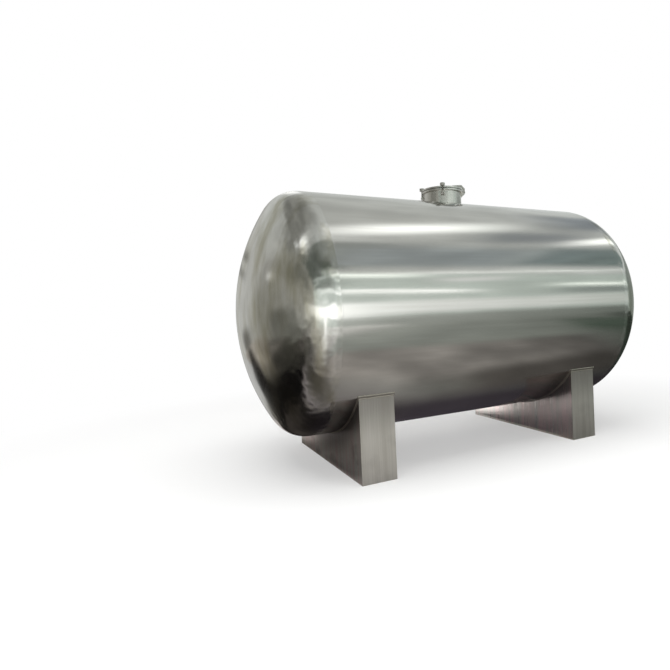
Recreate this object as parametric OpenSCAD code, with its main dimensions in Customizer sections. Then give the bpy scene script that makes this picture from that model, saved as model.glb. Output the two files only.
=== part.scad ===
// Horizontal stainless steel storage tank on two box saddles.
// X runs along the tank, Y across it, Z up. The ground is Z = 0.

/* [Tank] */
// Outside diameter of the shell
tank_d = 2200; // [2000:20:2400]
// Length of the shell between the tangent lines of the two heads
shell_len = 3120; // [2700:30:3600]
// Thickness of the shell and head plate
plate_t = 6; // [4:1:10]
// Height of the tank's axis above the ground
axis_h = 1395; // [1300:5:1600]

/* [Heads] */
// Outside radius of the shallow crown of each head
crown_r = 1840; // [1700:20:2200]
// Outside radius of the tight knuckle round each head
knuckle_r = 270; // [200:10:320]
// Straight flange of each head, up to its girth weld
head_flange = 40; // [25:5:60]

/* [Saddles] */
// Length of each saddle across the tank
saddle_len = 1720; // [1600:10:1800]
// Width of each saddle along the tank
saddle_w = 310; // [240:10:360]
// From the left tangent line to the left saddle
left_setback = 225; // [180:5:400]
// From the right tangent line to the right saddle
right_setback = 280; // [180:5:400]
// Thickness of the web and end plates
saddle_t = 6; // [5:1:12]
// Thickness of the base plate
base_t = 10; // [6:1:16]
// Thickness of the curved pad between saddle and shell
pad_t = 8; // [5:1:12]
// How far the pad reaches past the webs on each side
pad_overhang = 5; // [4:1:30]
// Angle of shell that the pad wraps
pad_angle = 104; // [100:1:120]

/* [Manway] */
// Distance of the manway from the middle of the tank
manway_x = 65; // [-200:5:200]
// Direction that the hinge faces, from +X towards +Y
manway_turn = -30; // [-180:5:180]
// Outside diameter of the neck
neck_d = 400; // [380:5:420]
// Wall of the neck
neck_t = 6; // [4:1:8]
// Height of the neck's top above the crown of the shell
neck_h = 134; // [120:2:200]
// Thickness of the neck flange and of the lid flange
flange_t = 16; // [12:1:20]
// How far both flanges reach past the neck
flange_reach = 20; // [18:1:24]
// Thickness of the gasket
gasket_t = 6; // [4:1:8]
// Rise of the dished lid above its flange
dish_rise = 40; // [20:5:50]
// Thickness of the dished plate
dish_t = 5; // [4:1:6]

/* [Clamps] */
// Diameter of the swing bolts
bolt_d = 16; // [14:1:18]
// Diameter of the hand nuts
knob_d = 50; // [44:1:54]
// Height of the hand nuts
knob_h = 26; // [20:1:32]

/* [Hidden] */
$fn = 180;
// Overshoot of every cut, so that no skin is left on a face
cut = 1;
far = 4000;

tank_r = tank_d / 2;
tangent_x = shell_len / 2;
seam_x = tangent_x - head_flange;
course_len = 2 * seam_x / 3;

// The knuckle's centre and the crown's centre, in a head's own radius and axis plane
knuckle_at = tank_r - knuckle_r;
crown_at = -sqrt(pow(crown_r - knuckle_r, 2) - pow(knuckle_at, 2));
crest_z = axis_h + tank_r;

// Heights of the manway's parts are above the crest of the shell, radii are from its own axis
neck_r = neck_d / 2;
neck_inside = 60;
flange_r = neck_r + flange_reach;
gasket_out_r = neck_r + 4;
lid_z = neck_h + gasket_t;
rim_z = lid_z + flange_t;

// The lid's dish is a cap of a sphere that meets the flange at its seat
dish_seat_r = neck_r - 10;
dish_r = (pow(dish_seat_r, 2) + pow(dish_rise, 2)) / (2 * dish_rise);
dish_at = rim_z + dish_rise - dish_r;

// Swing bolt, the eye at its foot and the nut at its top
bolt_r = bolt_d / 2;
bolt_at = flange_r - 6;
bolt_stub = 4;
slot_r = bolt_r + 1.5;
eye_r = 11;
eye_w = 14;
eye_z = neck_h - 54;
washer_r = 16;
washer_t = 4;
bolt_top = rim_z + washer_t + knob_h + bolt_stub;
knob_lobes = 7;
lobe_cut_r = 7;

// Lugs that carry the eye between them
lug_t = 6;
lug_r = 14;
lug_gap = eye_w + 2;
lug_root = 20;

// Pins have a flat head at each end
clamp_pin_r = 5;
hinge_pin_r = 6;
pin_head_reach = 3;
pin_head_t = 3;

// Hinge of the lid: two ears on the neck, and an arm that lies over the lid
hinge_at = flange_r + 13;
hinge_z = neck_h - 6;
hinge_eye_r = 11;
ear_r = 12;
ear_t = 8;
ear_foot = neck_h - 64;
arm_w = 26;
arm_rib_w = 16;
arm_top = rim_z + dish_rise + 9;
arm_end = 95;
arm_nose = 14;
arm_shoulder = flange_r - 12;
arm_heel = rim_z + 8;

pad_out_r = tank_r + pad_t;
pad_w = saddle_w + 2 * pad_overhang;

steel = "silver";
polished = "gainsboro";
satin = "darkgray";

// ---------- tank ----------

// Turns a shape made along +Z to lie along the tank's axis, on its centre line
module along_tank() {
    translate([0, 0, axis_h])
        rotate([0, 90, 0])
            children();
}

// Half outline of a head's solid dish, from the tangent line outwards, shrunk by inset
module dish_outline(inset) {
    // Lies past the head, on the line from the crown's centre through the knuckle's centre
    reach = [3 * knuckle_at, -2 * crown_at];
    intersection() {
        translate([0, crown_at])
            circle(r = crown_r - inset);
        polygon([[0, 0], [knuckle_at, 0], reach, [0, far]]);
    }
    intersection() {
        translate([knuckle_at, 0])
            circle(r = knuckle_r - inset);
        polygon([[knuckle_at, 0], [far, 0], reach]);
    }
}

// A dished head with its straight flange, opening towards -Z
module head() {
    rotate_extrude() {
        difference() {
            dish_outline(0);
            dish_outline(plate_t);
        }
        translate([tank_r - plate_t, -head_flange])
            square([plate_t, head_flange]);
    }
}

// One rolled course of the shell, number 0 to 2 from the left
module course(number) {
    translate([-seam_x + number * course_len, 0, 0])
        along_tank()
            difference() {
                cylinder(r = tank_r, h = course_len);
                translate([0, 0, -cut])
                    cylinder(r = tank_r - plate_t, h = course_len + 2 * cut);
            }
}

module shell_left() {
    color(steel) course(0);
}

module shell_middle() {
    color(steel)
        difference() {
            course(1);
            on_manway()
                translate([0, 0, -neck_inside - cut])
                    cylinder(r = neck_r, h = neck_inside + neck_h);
        }
}

module shell_right() {
    color(steel) course(2);
}

module right_head() {
    color(polished)
        translate([tangent_x, 0, 0])
            along_tank() head();
}

module left_head() {
    color(polished)
        mirror([1, 0, 0])
            translate([tangent_x, 0, 0])
                along_tank() head();
}

// ---------- manway ----------

// Puts a shape on the manway's axis, with Z = 0 at the crown of the shell
module on_manway() {
    translate([manway_x, 0, crest_z])
        rotate([0, 0, manway_turn])
            children();
}

// A flat ring between two radii, standing on z
module ring(outer, inner, z, h) {
    translate([0, 0, z])
        difference() {
            cylinder(r = outer, h = h);
            translate([0, 0, -cut])
                cylinder(r = inner, h = h + 2 * cut);
        }
}

// The open slots in a flange, one for each swing bolt
module bolt_slots(z, h) {
    for (place = [1:3])
        rotate([0, 0, 90 * place]) {
            translate([bolt_at, 0, z - cut])
                cylinder(r = slot_r, h = h + 2 * cut);
            translate([bolt_at, -slot_r, z - cut])
                cube([flange_reach, 2 * slot_r, h + 2 * cut]);
        }
}

module manway_neck() {
    color(polished)
        on_manway()
            ring(neck_r, neck_r - neck_t, -neck_inside, neck_inside + neck_h);
}

module manway_flange() {
    color(steel)
        on_manway()
            difference() {
                ring(flange_r, neck_r, neck_h - flange_t, flange_t);
                bolt_slots(neck_h - flange_t, flange_t);
            }
}

module manway_gasket() {
    color("dimgray")
        on_manway()
            ring(gasket_out_r, neck_r - neck_t, neck_h, gasket_t);
}

// Half outline of the lid's dished plate, solid down to the underside of its flange
module dish_solid(inset) {
    intersection() {
        translate([0, dish_at])
            circle(r = dish_r - inset);
        translate([0, lid_z])
            square([dish_seat_r, far]);
    }
}

// Half outline of the whole lid
module lid_outline() {
    difference() {
        dish_solid(0);
        dish_solid(dish_t);
    }
    translate([dish_seat_r - dish_t, lid_z])
        square([flange_r - dish_seat_r + dish_t, flange_t]);
}

module manway_lid() {
    color(polished)
        on_manway()
            difference() {
                rotate_extrude() lid_outline();
                bolt_slots(lid_z, flange_t);
            }
}

// ---------- hinge ----------

// Extrudes an outline drawn in radius and height, centred on the hinge's plane
module radial_plate(width) {
    rotate([90, 0, 0])
        linear_extrude(height = width, center = true)
            children();
}

// Outline of one ear of the hinge bracket
module ear_outline() {
    difference() {
        union() {
            polygon([
                [neck_r - neck_t, ear_foot],
                [neck_r - neck_t, neck_h - flange_t],
                [hinge_at - ear_r, neck_h - flange_t],
                [hinge_at - ear_r, hinge_z],
                [hinge_at + ear_r, hinge_z],
                [hinge_at + ear_r, hinge_z - ear_r]
            ]);
            translate([hinge_at, hinge_z])
                circle(r = ear_r);
        }
        translate([hinge_at, hinge_z])
            circle(r = hinge_pin_r);
    }
}

module hinge_bracket() {
    color(steel)
        on_manway()
            difference() {
                for (side = [-1, 1])
                    translate([0, side * (arm_w + ear_t) / 2, 0])
                        radial_plate(ear_t) ear_outline();
                translate([0, 0, -neck_inside])
                    cylinder(r = neck_r, h = neck_inside + neck_h);
            }
}

// Outline of the rib that runs from the hinge over the lid's flange and on to its dish
module arm_outline() {
    polygon([
        [hinge_at - hinge_eye_r, hinge_z],
        [hinge_at - hinge_eye_r, rim_z],
        [arm_end, rim_z],
        [arm_end, arm_top - arm_nose],
        [arm_end + arm_nose, arm_top],
        [arm_shoulder, arm_top],
        [hinge_at + hinge_eye_r, arm_heel],
        [hinge_at + hinge_eye_r, hinge_z]
    ]);
}

module hinge_arm() {
    color(steel)
        on_manway()
            difference() {
                union() {
                    radial_plate(arm_rib_w) arm_outline();
                    translate([hinge_at, 0, hinge_z])
                        rotate([90, 0, 0])
                            cylinder(r = hinge_eye_r, h = arm_w, center = true);
                }
                translate([hinge_at, 0, hinge_z])
                    rotate([90, 0, 0])
                        cylinder(r = hinge_pin_r, h = arm_w + 2 * cut, center = true);
                rotate_extrude()
                    dish_solid(0);
            }
}

// A pin across the radial plane, with a head at each end
module cross_pin(r, grip) {
    rotate([90, 0, 0]) {
        cylinder(r = r, h = grip + 2 * pin_head_t, center = true);
        for (side = [0, 1])
            mirror([0, 0, side])
                translate([0, 0, grip / 2])
                    cylinder(r = r + pin_head_reach, h = pin_head_t);
    }
}

module hinge_pin() {
    color(polished)
        on_manway()
            translate([hinge_at, 0, hinge_z])
                cross_pin(hinge_pin_r, arm_w + 2 * ear_t);
}

// ---------- swing bolt clamps ----------

// Puts a shape at clamp number place, a quarter turn apart from the hinge
module on_clamp(place) {
    on_manway()
        rotate([0, 0, 90 * place])
            children();
}

module lug_outline() {
    difference() {
        union() {
            polygon([
                [neck_r - neck_t, eye_z - lug_root],
                [neck_r - neck_t, eye_z + lug_root],
                [bolt_at, eye_z + lug_r],
                [bolt_at, eye_z - lug_r]
            ]);
            translate([bolt_at, eye_z])
                circle(r = lug_r);
        }
        translate([bolt_at, eye_z])
            circle(r = clamp_pin_r);
    }
}

module clamp_lug(place) {
    color(steel)
        on_clamp(place)
            difference() {
                for (side = [-1, 1])
                    translate([0, side * (lug_gap + lug_t) / 2, 0])
                        radial_plate(lug_t) lug_outline();
                translate([0, 0, -neck_inside])
                    cylinder(r = neck_r, h = neck_inside + neck_h);
            }
}

module clamp_pin(place) {
    color(polished)
        on_clamp(place)
            translate([bolt_at, 0, eye_z])
                cross_pin(clamp_pin_r, lug_gap + 2 * lug_t);
}

module clamp_bolt(place) {
    color(polished)
        on_clamp(place)
            translate([bolt_at, 0, 0])
                difference() {
                    union() {
                        translate([0, 0, eye_z])
                            cylinder(r = bolt_r, h = bolt_top - eye_z);
                        translate([0, 0, eye_z])
                            rotate([90, 0, 0])
                                cylinder(r = eye_r, h = eye_w, center = true);
                    }
                    translate([0, 0, eye_z])
                        rotate([90, 0, 0])
                            cylinder(r = clamp_pin_r, h = 2 * eye_w, center = true);
                }
}

// A lobed hand nut with its washer
module clamp_nut(place) {
    color(satin)
        on_clamp(place)
            translate([bolt_at, 0, rim_z])
                difference() {
                    union() {
                        cylinder(r = washer_r, h = washer_t);
                        translate([0, 0, washer_t])
                            difference() {
                                cylinder(r = knob_d / 2, h = knob_h);
                                for (lobe = [0:knob_lobes - 1])
                                    rotate([0, 0, 360 * lobe / knob_lobes])
                                        translate([knob_d / 2 + lobe_cut_r / 2, 0, -cut])
                                            cylinder(r = lobe_cut_r, h = knob_h + 2 * cut);
                            }
                    }
                    translate([0, 0, -cut])
                        cylinder(r = bolt_r, h = washer_t + knob_h + 2 * cut);
                }
}

// ---------- saddles ----------

// Puts a saddle's own X = 0 at its outer web: side -1 is the left saddle, 1 the right one
module on_saddle(side) {
    setback = side < 0 ? left_setback : right_setback;
    mirror([side < 0 ? 1 : 0, 0, 0])
        translate([tangent_x - setback, 0, 0])
            mirror([1, 0, 0])
                children();
}

// The round space that the pad's outside fills, to trim the plates below it
module pad_space() {
    translate([-cut - pad_overhang, 0, 0])
        along_tank()
            cylinder(r = pad_out_r, h = pad_w + 2 * cut);
}

module saddle_pad(side) {
    half_x = tan(pad_angle / 2) * far;
    color(polished)
        on_saddle(side)
            translate([-pad_overhang, 0, 0])
                along_tank()
                    linear_extrude(height = pad_w)
                        intersection() {
                            difference() {
                                circle(r = pad_out_r);
                                circle(r = tank_r);
                            }
                            polygon([[0, 0], [far, -half_x], [far, half_x]]);
                        }
}

// One web plate, standing across the tank; place is 0 for the outer and 1 for the inner one
module saddle_web(side, place) {
    color(satin)
        on_saddle(side)
            difference() {
                translate([place * (saddle_w - saddle_t), -saddle_len / 2 + saddle_t, 0])
                    cube([saddle_t, saddle_len - 2 * saddle_t, axis_h]);
                pad_space();
            }
}

// One end plate; end is -1 for the front of the tank and 1 for the back
module saddle_end(side, end) {
    color(satin)
        on_saddle(side)
            difference() {
                translate([0, end * (saddle_len - saddle_t) / 2 - saddle_t / 2, 0])
                    cube([saddle_w, saddle_t, axis_h - tank_r / 2]);
                pad_space();
            }
}

module saddle_base(side) {
    color(satin)
        on_saddle(side)
            translate([saddle_t, -saddle_len / 2 + saddle_t, 0])
                cube([saddle_w - 2 * saddle_t, saddle_len - 2 * saddle_t, base_t]);
}

shell_left();
shell_middle();
shell_right();
left_head();
right_head();
manway_neck();
manway_flange();
manway_gasket();
manway_lid();
hinge_bracket();
hinge_arm();
hinge_pin();
clamp_lug(1);  // clamp_lug_1
clamp_pin(1);  // clamp_pin_1
clamp_bolt(1);  // clamp_bolt_1
clamp_nut(1);  // clamp_nut_1
clamp_lug(2);  // clamp_lug_2
clamp_pin(2);  // clamp_pin_2
clamp_bolt(2);  // clamp_bolt_2
clamp_nut(2);  // clamp_nut_2
clamp_lug(3);  // clamp_lug_3
clamp_pin(3);  // clamp_pin_3
clamp_bolt(3);  // clamp_bolt_3
clamp_nut(3);  // clamp_nut_3
saddle_pad(-1);  // left_saddle_pad
saddle_web(-1, 0);  // left_saddle_outer_web
saddle_web(-1, 1);  // left_saddle_inner_web
saddle_end(-1, -1);  // left_saddle_front_end
saddle_end(-1, 1);  // left_saddle_back_end
saddle_base(-1);  // left_saddle_base
saddle_pad(1);  // right_saddle_pad
saddle_web(1, 0);  // right_saddle_outer_web
saddle_web(1, 1);  // right_saddle_inner_web
saddle_end(1, -1);  // right_saddle_front_end
saddle_end(1, 1);  // right_saddle_back_end
saddle_base(1);  // right_saddle_base
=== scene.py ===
"""Looks of a horizontal stainless steel storage tank on two box saddles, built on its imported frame.

X runs along the tank, Y across it and Z up, in metres. The ground is Z = 0.
"""
import math

import bpy
from mathutils import Matrix, Vector


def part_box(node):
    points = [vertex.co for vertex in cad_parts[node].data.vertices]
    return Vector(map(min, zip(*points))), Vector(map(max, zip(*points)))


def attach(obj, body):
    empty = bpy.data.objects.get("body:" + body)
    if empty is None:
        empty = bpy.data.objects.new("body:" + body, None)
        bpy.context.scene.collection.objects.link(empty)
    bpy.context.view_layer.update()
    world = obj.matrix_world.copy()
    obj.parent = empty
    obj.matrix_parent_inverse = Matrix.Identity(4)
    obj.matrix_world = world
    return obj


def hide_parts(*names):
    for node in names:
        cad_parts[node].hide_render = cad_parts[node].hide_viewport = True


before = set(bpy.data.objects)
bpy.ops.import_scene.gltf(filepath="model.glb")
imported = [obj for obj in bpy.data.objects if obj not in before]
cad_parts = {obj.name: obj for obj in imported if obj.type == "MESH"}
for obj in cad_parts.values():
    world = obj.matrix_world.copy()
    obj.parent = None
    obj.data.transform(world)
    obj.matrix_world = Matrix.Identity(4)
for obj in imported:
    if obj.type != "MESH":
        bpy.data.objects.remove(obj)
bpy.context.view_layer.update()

bl_info = {
    "name": "Horizontal Storage Tank",
    "version": (1, 0, 0),
    "blender": (4, 5, 0),
    "location": "View3D > Sidebar > Tank",
    "description": "Models the plates, welds and fittings of a polished steel tank and its studio",
    "category": "Object",
}

X = Vector((1, 0, 0))
Y = Vector((0, 1, 0))
Z = Vector((0, 0, 1))


# ---------- dimensions that no box shows ----------

# Shell plate, the heads' crown, knuckle and straight flange, and the saddle pads
PLATE_T = 0.006
CROWN_R = 1.84
KNUCKLE_R = 0.27
HEAD_FLANGE = 0.04
PAD_T = 0.008
PAD_HALF_ANGLE = math.radians(52)

# The manway's neck, how far its flange and gasket stand out from it, and the lid's dish
NECK_T = 0.006
FLANGE_REACH = 0.02
GASKET_REACH = 0.004
DISH_INSET = 0.01
DISH_T = 0.005

# The swing bolts, their slots, eyes and washers, and the lobed hand nuts
BOLT_R = 0.008
BOLT_STUB = 0.004
SLOT_R = 0.0095
EYE_R = 0.011
EYE_W = 0.014
WASHER_R = 0.016
WASHER_T = 0.004
KNOB_R = 0.025
KNOB_LOBES = 7
LOBE_CUT_R = 0.007

# The lugs that carry the swing bolts, and the pins
LUG_R = 0.014
LUG_ROOT = 0.02
LUG_T = 0.006
LUG_GAP = 0.016
CLAMP_PIN_R = 0.005
HINGE_PIN_R = 0.006
PIN_HEAD_REACH = 0.003
PIN_HEAD_T = 0.003

# The hinge's ears on the neck, and its arm over the lid
EAR_R = 0.012
EAR_T = 0.008
EAR_DROP = 0.064
ARM_EYE_R = 0.011
ARM_EYE_W = 0.026
ARM_RIB_W = 0.016
ARM_END = 0.095
ARM_NOSE = 0.014
ARM_SHOULDER = 0.208
ARM_HEEL = 0.008
# How far the arm's leg is set in from its eye, and its foot sunk into the lid
ARM_EASE = 0.001


# ---------- places taken from the frame ----------

def middle(node):
    """Centre of a CAD node's box."""
    low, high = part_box(node)
    return (low + high) / 2


def span(node):
    """Size of a CAD node's box."""
    low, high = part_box(node)
    return high - low


def ends(node):
    """Where a CAD node's box starts and ends along the tank."""
    low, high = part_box(node)
    return low.x, high.x


TANK_R = span("shell_middle").y / 2
AXIS = Vector((0, 0, middle("left_head").z))
COURSES = ("shell_left", "shell_middle", "shell_right")
HEADS = {"left_head": -1, "right_head": 1}
SEAM_X = ends("shell_right")[1]

# The manway's neck, flange and lid stand on their own upright axis
MANWAY = Vector((middle("manway_neck").x, middle("manway_neck").y, 0))
NECK_R = span("manway_neck").y / 2
NECK_FOOT, NECK_TOP = (corner.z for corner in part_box("manway_neck"))
FLANGE_R = FLANGE_REACH + NECK_R
FLANGE_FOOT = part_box("manway_flange")[0].z
LID_Z, LID_TOP = (corner.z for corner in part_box("manway_lid"))
RIM_Z = LID_Z + NECK_TOP - FLANGE_FOOT


def reach(node):
    """Distance of a fitting from the manway's axis."""
    return (middle(node) - MANWAY).xy.length


def bearing(node):
    """Direction of a fitting from the manway's axis, as an angle from X."""
    offset = middle(node) - MANWAY
    return math.atan2(offset.y, offset.x)


BOLT_AT, EYE_Z = reach("clamp_pin_1"), middle("clamp_pin_1").z
BOLT_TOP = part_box("clamp_bolt_1")[1].z
HINGE_AT, HINGE_Z = reach("hinge_pin"), middle("hinge_pin").z
HINGE_BEARING = bearing("hinge_pin")
ARM_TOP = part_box("hinge_arm")[1].z
CLAMPS = {number: bearing(f"clamp_pin_{number}") for number in (1, 2, 3)}
SADDLES = ("left", "right")


# ---------- how finely things are modelled ----------

# Vertices closer than this are merged, and edges flatter than this look smooth
MERGE = 1e-5
SMOOTH_ANGLE = math.radians(32)
# Facets along the heads' crown and knuckle, across half a girth seam and round the manway
CROWN_STEPS = 36
KNUCKLE_STEPS = 24
SEAM_STEPS = 3
MANWAY_STEPS = 128
# Sides of a bolt, of small and larger bores and bars, and of a hand nut with 12 to a lobe
BOLT_SIDES = 24
SMALL_SIDES = 32
LARGE_SIDES = 48
KNOB_SIDES = 12 * KNOB_LOBES
# Facets along the rounded end of a lug or an ear, and along the lid's dish
END_STEPS = 16
DISH_STEPS = 16
# The waist between two ripples of a weld, as a share of its width
RIPPLE_WAIST = 0.86
# The welds of thin fittings, as a share of the full fillet
SMALL_WELD = 0.7
# How far the long seams stand proud of the plate, and their angles from the top to the back
LONG_SEAM_PROUD = 0.001
LONG_SEAM_TURNS = (math.radians(40), math.radians(55), math.radians(40))
# Depth of a metric thread, as a share of its pitch
THREAD_DEPTH = 0.6
# How far the shank of a swing bolt starts below the middle of its eye's ring
SHANK_SINK = 0.001


# ---------- settings that a user would change ----------

def linear(colour):
    """An sRGB hex colour as linear RGBA."""
    parts = [int(colour[at:at + 2], 16) / 255 for at in (1, 3, 5)]
    return [p / 12.92 if p <= 0.04045 else ((p + 0.055) / 1.055) ** 2.4 for p in parts] + [1.0]


def swatch(name, description, colour):
    """A colour setting whose default is an sRGB hex colour."""
    return bpy.props.FloatVectorProperty(
        name=name, description=description, subtype="COLOR", size=4, min=0.0, max=1.0,
        default=linear(colour))


class TankShape(bpy.types.PropertyGroup):
    """Sizes of the modelled detail"""

    ring_steps: bpy.props.IntProperty(
        name="Segments", description="Segments round the shell and heads",
        default=256, min=64, max=512)
    seam_width: bpy.props.FloatProperty(
        name="Seam width", description="Width of a dressed girth seam",
        default=0.01, min=0.006, max=0.03, unit="LENGTH")
    seam_dip: bpy.props.FloatProperty(
        name="Seam dip", description="Depth of the ground toe on each side of a girth seam",
        default=0.0001, min=0.0, max=0.002, unit="LENGTH")
    weld_leg: bpy.props.FloatProperty(
        name="Weld leg", description="Radius of the fillet welds",
        default=0.005, min=0.003, max=0.01, unit="LENGTH")
    weld_pitch: bpy.props.FloatProperty(
        name="Weld ripple", description="Spacing of the ripples in a weld bead",
        default=0.005, min=0.003, max=0.02, unit="LENGTH")
    edge_round: bpy.props.FloatProperty(
        name="Edge round", description="Radius of the eased plate edges",
        default=0.0015, min=0.0005, max=0.003, unit="LENGTH")
    thread_pitch: bpy.props.FloatProperty(
        name="Thread pitch", description="Pitch of the thread on the swing bolts",
        default=0.002, min=0.001, max=0.003, unit="LENGTH")


class TankFinish(bpy.types.PropertyGroup):
    """Colours and polish of the steel"""

    plate_colour: swatch("Plate", "Colour of the polished shell plate", "#C9C9C5")
    head_colour: swatch("Heads", "Colour of the buffed heads", "#CBCBC7")
    manway_colour: swatch("Manway", "Colour of the manway's neck, flange and lid", "#D8D7D2")
    saddle_colour: swatch("Saddles", "Colour of the brushed saddle plate", "#DCD9D3")
    fitting_colour: swatch("Fittings", "Colour of the bolts, lugs and hinge", "#BFBDB7")
    # The pads' colour is darker than the saddles', partly as painted shade under the shell
    pad_colour: swatch("Pads", "Colour of the satin pads between shell and saddles", "#B3AEA7")
    weld_colour: swatch("Welds", "Colour of the weld beads", "#A8A195")
    rubber_colour: swatch("Gasket", "Colour of the rubber gasket", "#232323")
    shell_roughness: bpy.props.FloatProperty(
        name="Shell roughness", description="Roughness of the polished shell",
        default=0.13, min=0.05, max=0.5)
    head_roughness: bpy.props.FloatProperty(
        name="Head roughness", description="Roughness of the buffed heads",
        default=0.15, min=0.03, max=0.5)


class TankStage(bpy.types.PropertyGroup):
    """Lamp and surroundings"""

    lamp_power: bpy.props.FloatProperty(
        name="Lamp", description="Power of the overhead softbox",
        default=420.0, min=0.0, max=3000.0, unit="POWER")
    sky_strength: bpy.props.FloatProperty(
        name="Fill", description="Strength of the even fill light",
        default=0.62, min=0.0, max=2.0)
    card_strength: bpy.props.FloatProperty(
        name="Cards", description="Strength of the cards that the steel reflects",
        default=1.0, min=0.0, max=3.0)


# ---------- modelling, all through operators ----------

def pick(piece):
    """Selects one object alone."""
    bpy.ops.object.select_all(action="DESELECT")
    piece.select_set(True)
    bpy.context.view_layer.objects.active = piece


def edit(piece):
    """Opens one object in edit mode with everything in it selected."""
    pick(piece)
    bpy.ops.object.mode_set(mode="EDIT")
    bpy.ops.mesh.select_all(action="SELECT")


def leave_edit():
    """Returns to object mode."""
    bpy.ops.object.mode_set(mode="OBJECT")


def new_piece(name):
    """Names the primitive that was just added and fixes its place in its mesh."""
    piece = bpy.context.object
    piece.name = name
    bpy.ops.object.transform_apply(location=True, rotation=True, scale=True)
    return piece


def draw_line(name, points, closed=False):
    """A chain of edges through the points, drawn by extruding one vertex on and on.

    The first vertex is a small plane merged to its centre.
    """
    bpy.ops.object.select_all(action="DESELECT")
    bpy.ops.mesh.primitive_plane_add(size=0.001, location=points[0])
    piece = new_piece(name)
    edit(piece)
    bpy.ops.mesh.merge(type="CENTER")
    stops = list(points) + ([points[0]] if closed else [])
    for start, end in zip(stops, stops[1:]):
        bpy.ops.mesh.extrude_region_move(TRANSFORM_OT_translate={"value": end - start})
    bpy.ops.mesh.select_all(action="SELECT")
    bpy.ops.mesh.remove_doubles(threshold=MERGE)
    leave_edit()
    return piece


def close_up(piece):
    """Merges doubles, closes open ends and turns every face outwards."""
    edit(piece)
    bpy.ops.mesh.remove_doubles(threshold=MERGE)
    bpy.ops.mesh.delete_loose()
    bpy.ops.mesh.select_all(action="SELECT")
    bpy.ops.mesh.fill_holes(sides=0)
    bpy.ops.mesh.select_all(action="SELECT")
    bpy.ops.mesh.normals_make_consistent(inside=False)
    leave_edit()


def lathe(name, outline, centre, axis, spoke, steps, angle=2 * math.pi):
    """Spins a closed outline of (radius, height) points about the axis through centre."""
    points = [centre + spoke * radius + axis * height for radius, height in outline]
    piece = draw_line(name, points, closed=True)
    edit(piece)
    bpy.ops.mesh.spin(steps=steps, angle=angle, center=centre, axis=axis)
    leave_edit()
    close_up(piece)
    return piece


def arc(centre, radius, start, end, steps):
    """Points (radius, height) along an arc; angles run from the height axis towards the radius."""
    return [
        (centre[0] + radius * math.sin(start + (end - start) * step / steps),
         centre[1] + radius * math.cos(start + (end - start) * step / steps))
        for step in range(steps + 1)
    ]


def box(name, low, high):
    """A block between two corners, made from a cube pulled to size."""
    bpy.ops.object.select_all(action="DESELECT")
    bpy.ops.mesh.primitive_cube_add(size=1, location=(low + high) / 2, scale=high - low)
    return new_piece(name)


def rod(name, start, end, radius, sides):
    """A plain round bar between two points, used to cut holes and slots."""
    bpy.ops.object.select_all(action="DESELECT")
    turn = (end - start).to_track_quat("Z", "Y").to_euler()
    bpy.ops.mesh.primitive_cylinder_add(
        vertices=sides, radius=radius, depth=(end - start).length,
        location=(start + end) / 2, rotation=turn)
    return new_piece(name)


def apply(piece, kind, **settings):
    """Adds one modifier and applies it."""
    pick(piece)
    modifier = piece.modifiers.new(kind.title(), kind)
    for setting, value in settings.items():
        setattr(modifier, setting, value)
    bpy.ops.object.modifier_apply(modifier=modifier.name)


def carve(piece, tool, operation="DIFFERENCE"):
    """Cuts one shape out of another, or fuses it on, and throws the tool shape away."""
    apply(piece, "BOOLEAN", operation=operation, solver="EXACT", object=tool)
    bpy.data.objects.remove(tool)


def ease_edges(piece, radius, segments=2):
    """Rounds every sharp edge, as a file or a grinder leaves it."""
    apply(piece, "BEVEL", width=radius, segments=segments, limit_method="ANGLE",
          angle_limit=SMOOTH_ANGLE, harden_normals=False)
    edit(piece)
    bpy.ops.mesh.dissolve_degenerate(threshold=MERGE)
    leave_edit()


def cut_plate(name, outline, thickness, shift=0.0):
    """A flat plate cut to an outline of (radius, height) points, upright in the radial plane."""
    near = Y * (shift - thickness / 2)
    points = [near + X * radius + Z * height for radius, height in outline]
    piece = draw_line(name, points, closed=True)
    edit(piece)
    bpy.ops.mesh.edge_face_add()
    bpy.ops.mesh.extrude_region_move(TRANSFORM_OT_translate={"value": Y * thickness})
    leave_edit()
    close_up(piece)
    return piece


def join(name, parts):
    """Joins parts into one piece."""
    pick(parts[0])
    for part in parts:
        part.select_set(True)
    if len(parts) > 1:
        bpy.ops.object.join()
    parts[0].name = name
    return parts[0]


def copy_of(piece, name):
    """A copy of a piece, with its own mesh."""
    pick(piece)
    bpy.ops.object.duplicate()
    twin = bpy.context.object
    twin.name = name
    return twin


def seat_on_manway(piece, angle, distance=0.0):
    """Moves a piece modelled about the origin to its bearing and distance on the manway."""
    pick(piece)
    piece.matrix_world = (
        Matrix.Translation(MANWAY) @ Matrix.Rotation(angle, 4, "Z")
        @ Matrix.Translation(X * distance))
    bpy.ops.object.transform_apply(location=True, rotation=True, scale=True)
    return piece


def round_route(start, centre, axis, angle, steps):
    """A chain of edges round an arc, made by spinning one point about the axis."""
    piece = draw_line("route", [start])
    edit(piece)
    bpy.ops.mesh.spin(steps=steps, angle=angle, center=centre, axis=axis)
    bpy.ops.mesh.select_all(action="SELECT")
    bpy.ops.mesh.remove_doubles(threshold=MERGE)
    leave_edit()
    return piece


def straight_route(start, end, steps):
    """A straight chain of edges."""
    piece = draw_line("route", [start, end])
    edit(piece)
    bpy.ops.mesh.subdivide(number_cuts=steps - 1)
    leave_edit()
    return piece


def bead(name, routes, radius):
    """A weld bead, round in section and rippled, along each chain of edges."""
    route = join(name, routes)
    pick(route)
    bpy.ops.object.convert(target="CURVE")
    curve = route.data
    curve.bevel_depth = radius
    curve.bevel_resolution = 2
    curve.use_fill_caps = True
    for spline in curve.splines:
        for number, point in enumerate(spline.points):
            point.radius = 1.0 if number % 2 else RIPPLE_WAIST
    bpy.ops.object.convert(target="MESH")
    close_up(route)
    route.name = name
    return route


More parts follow.
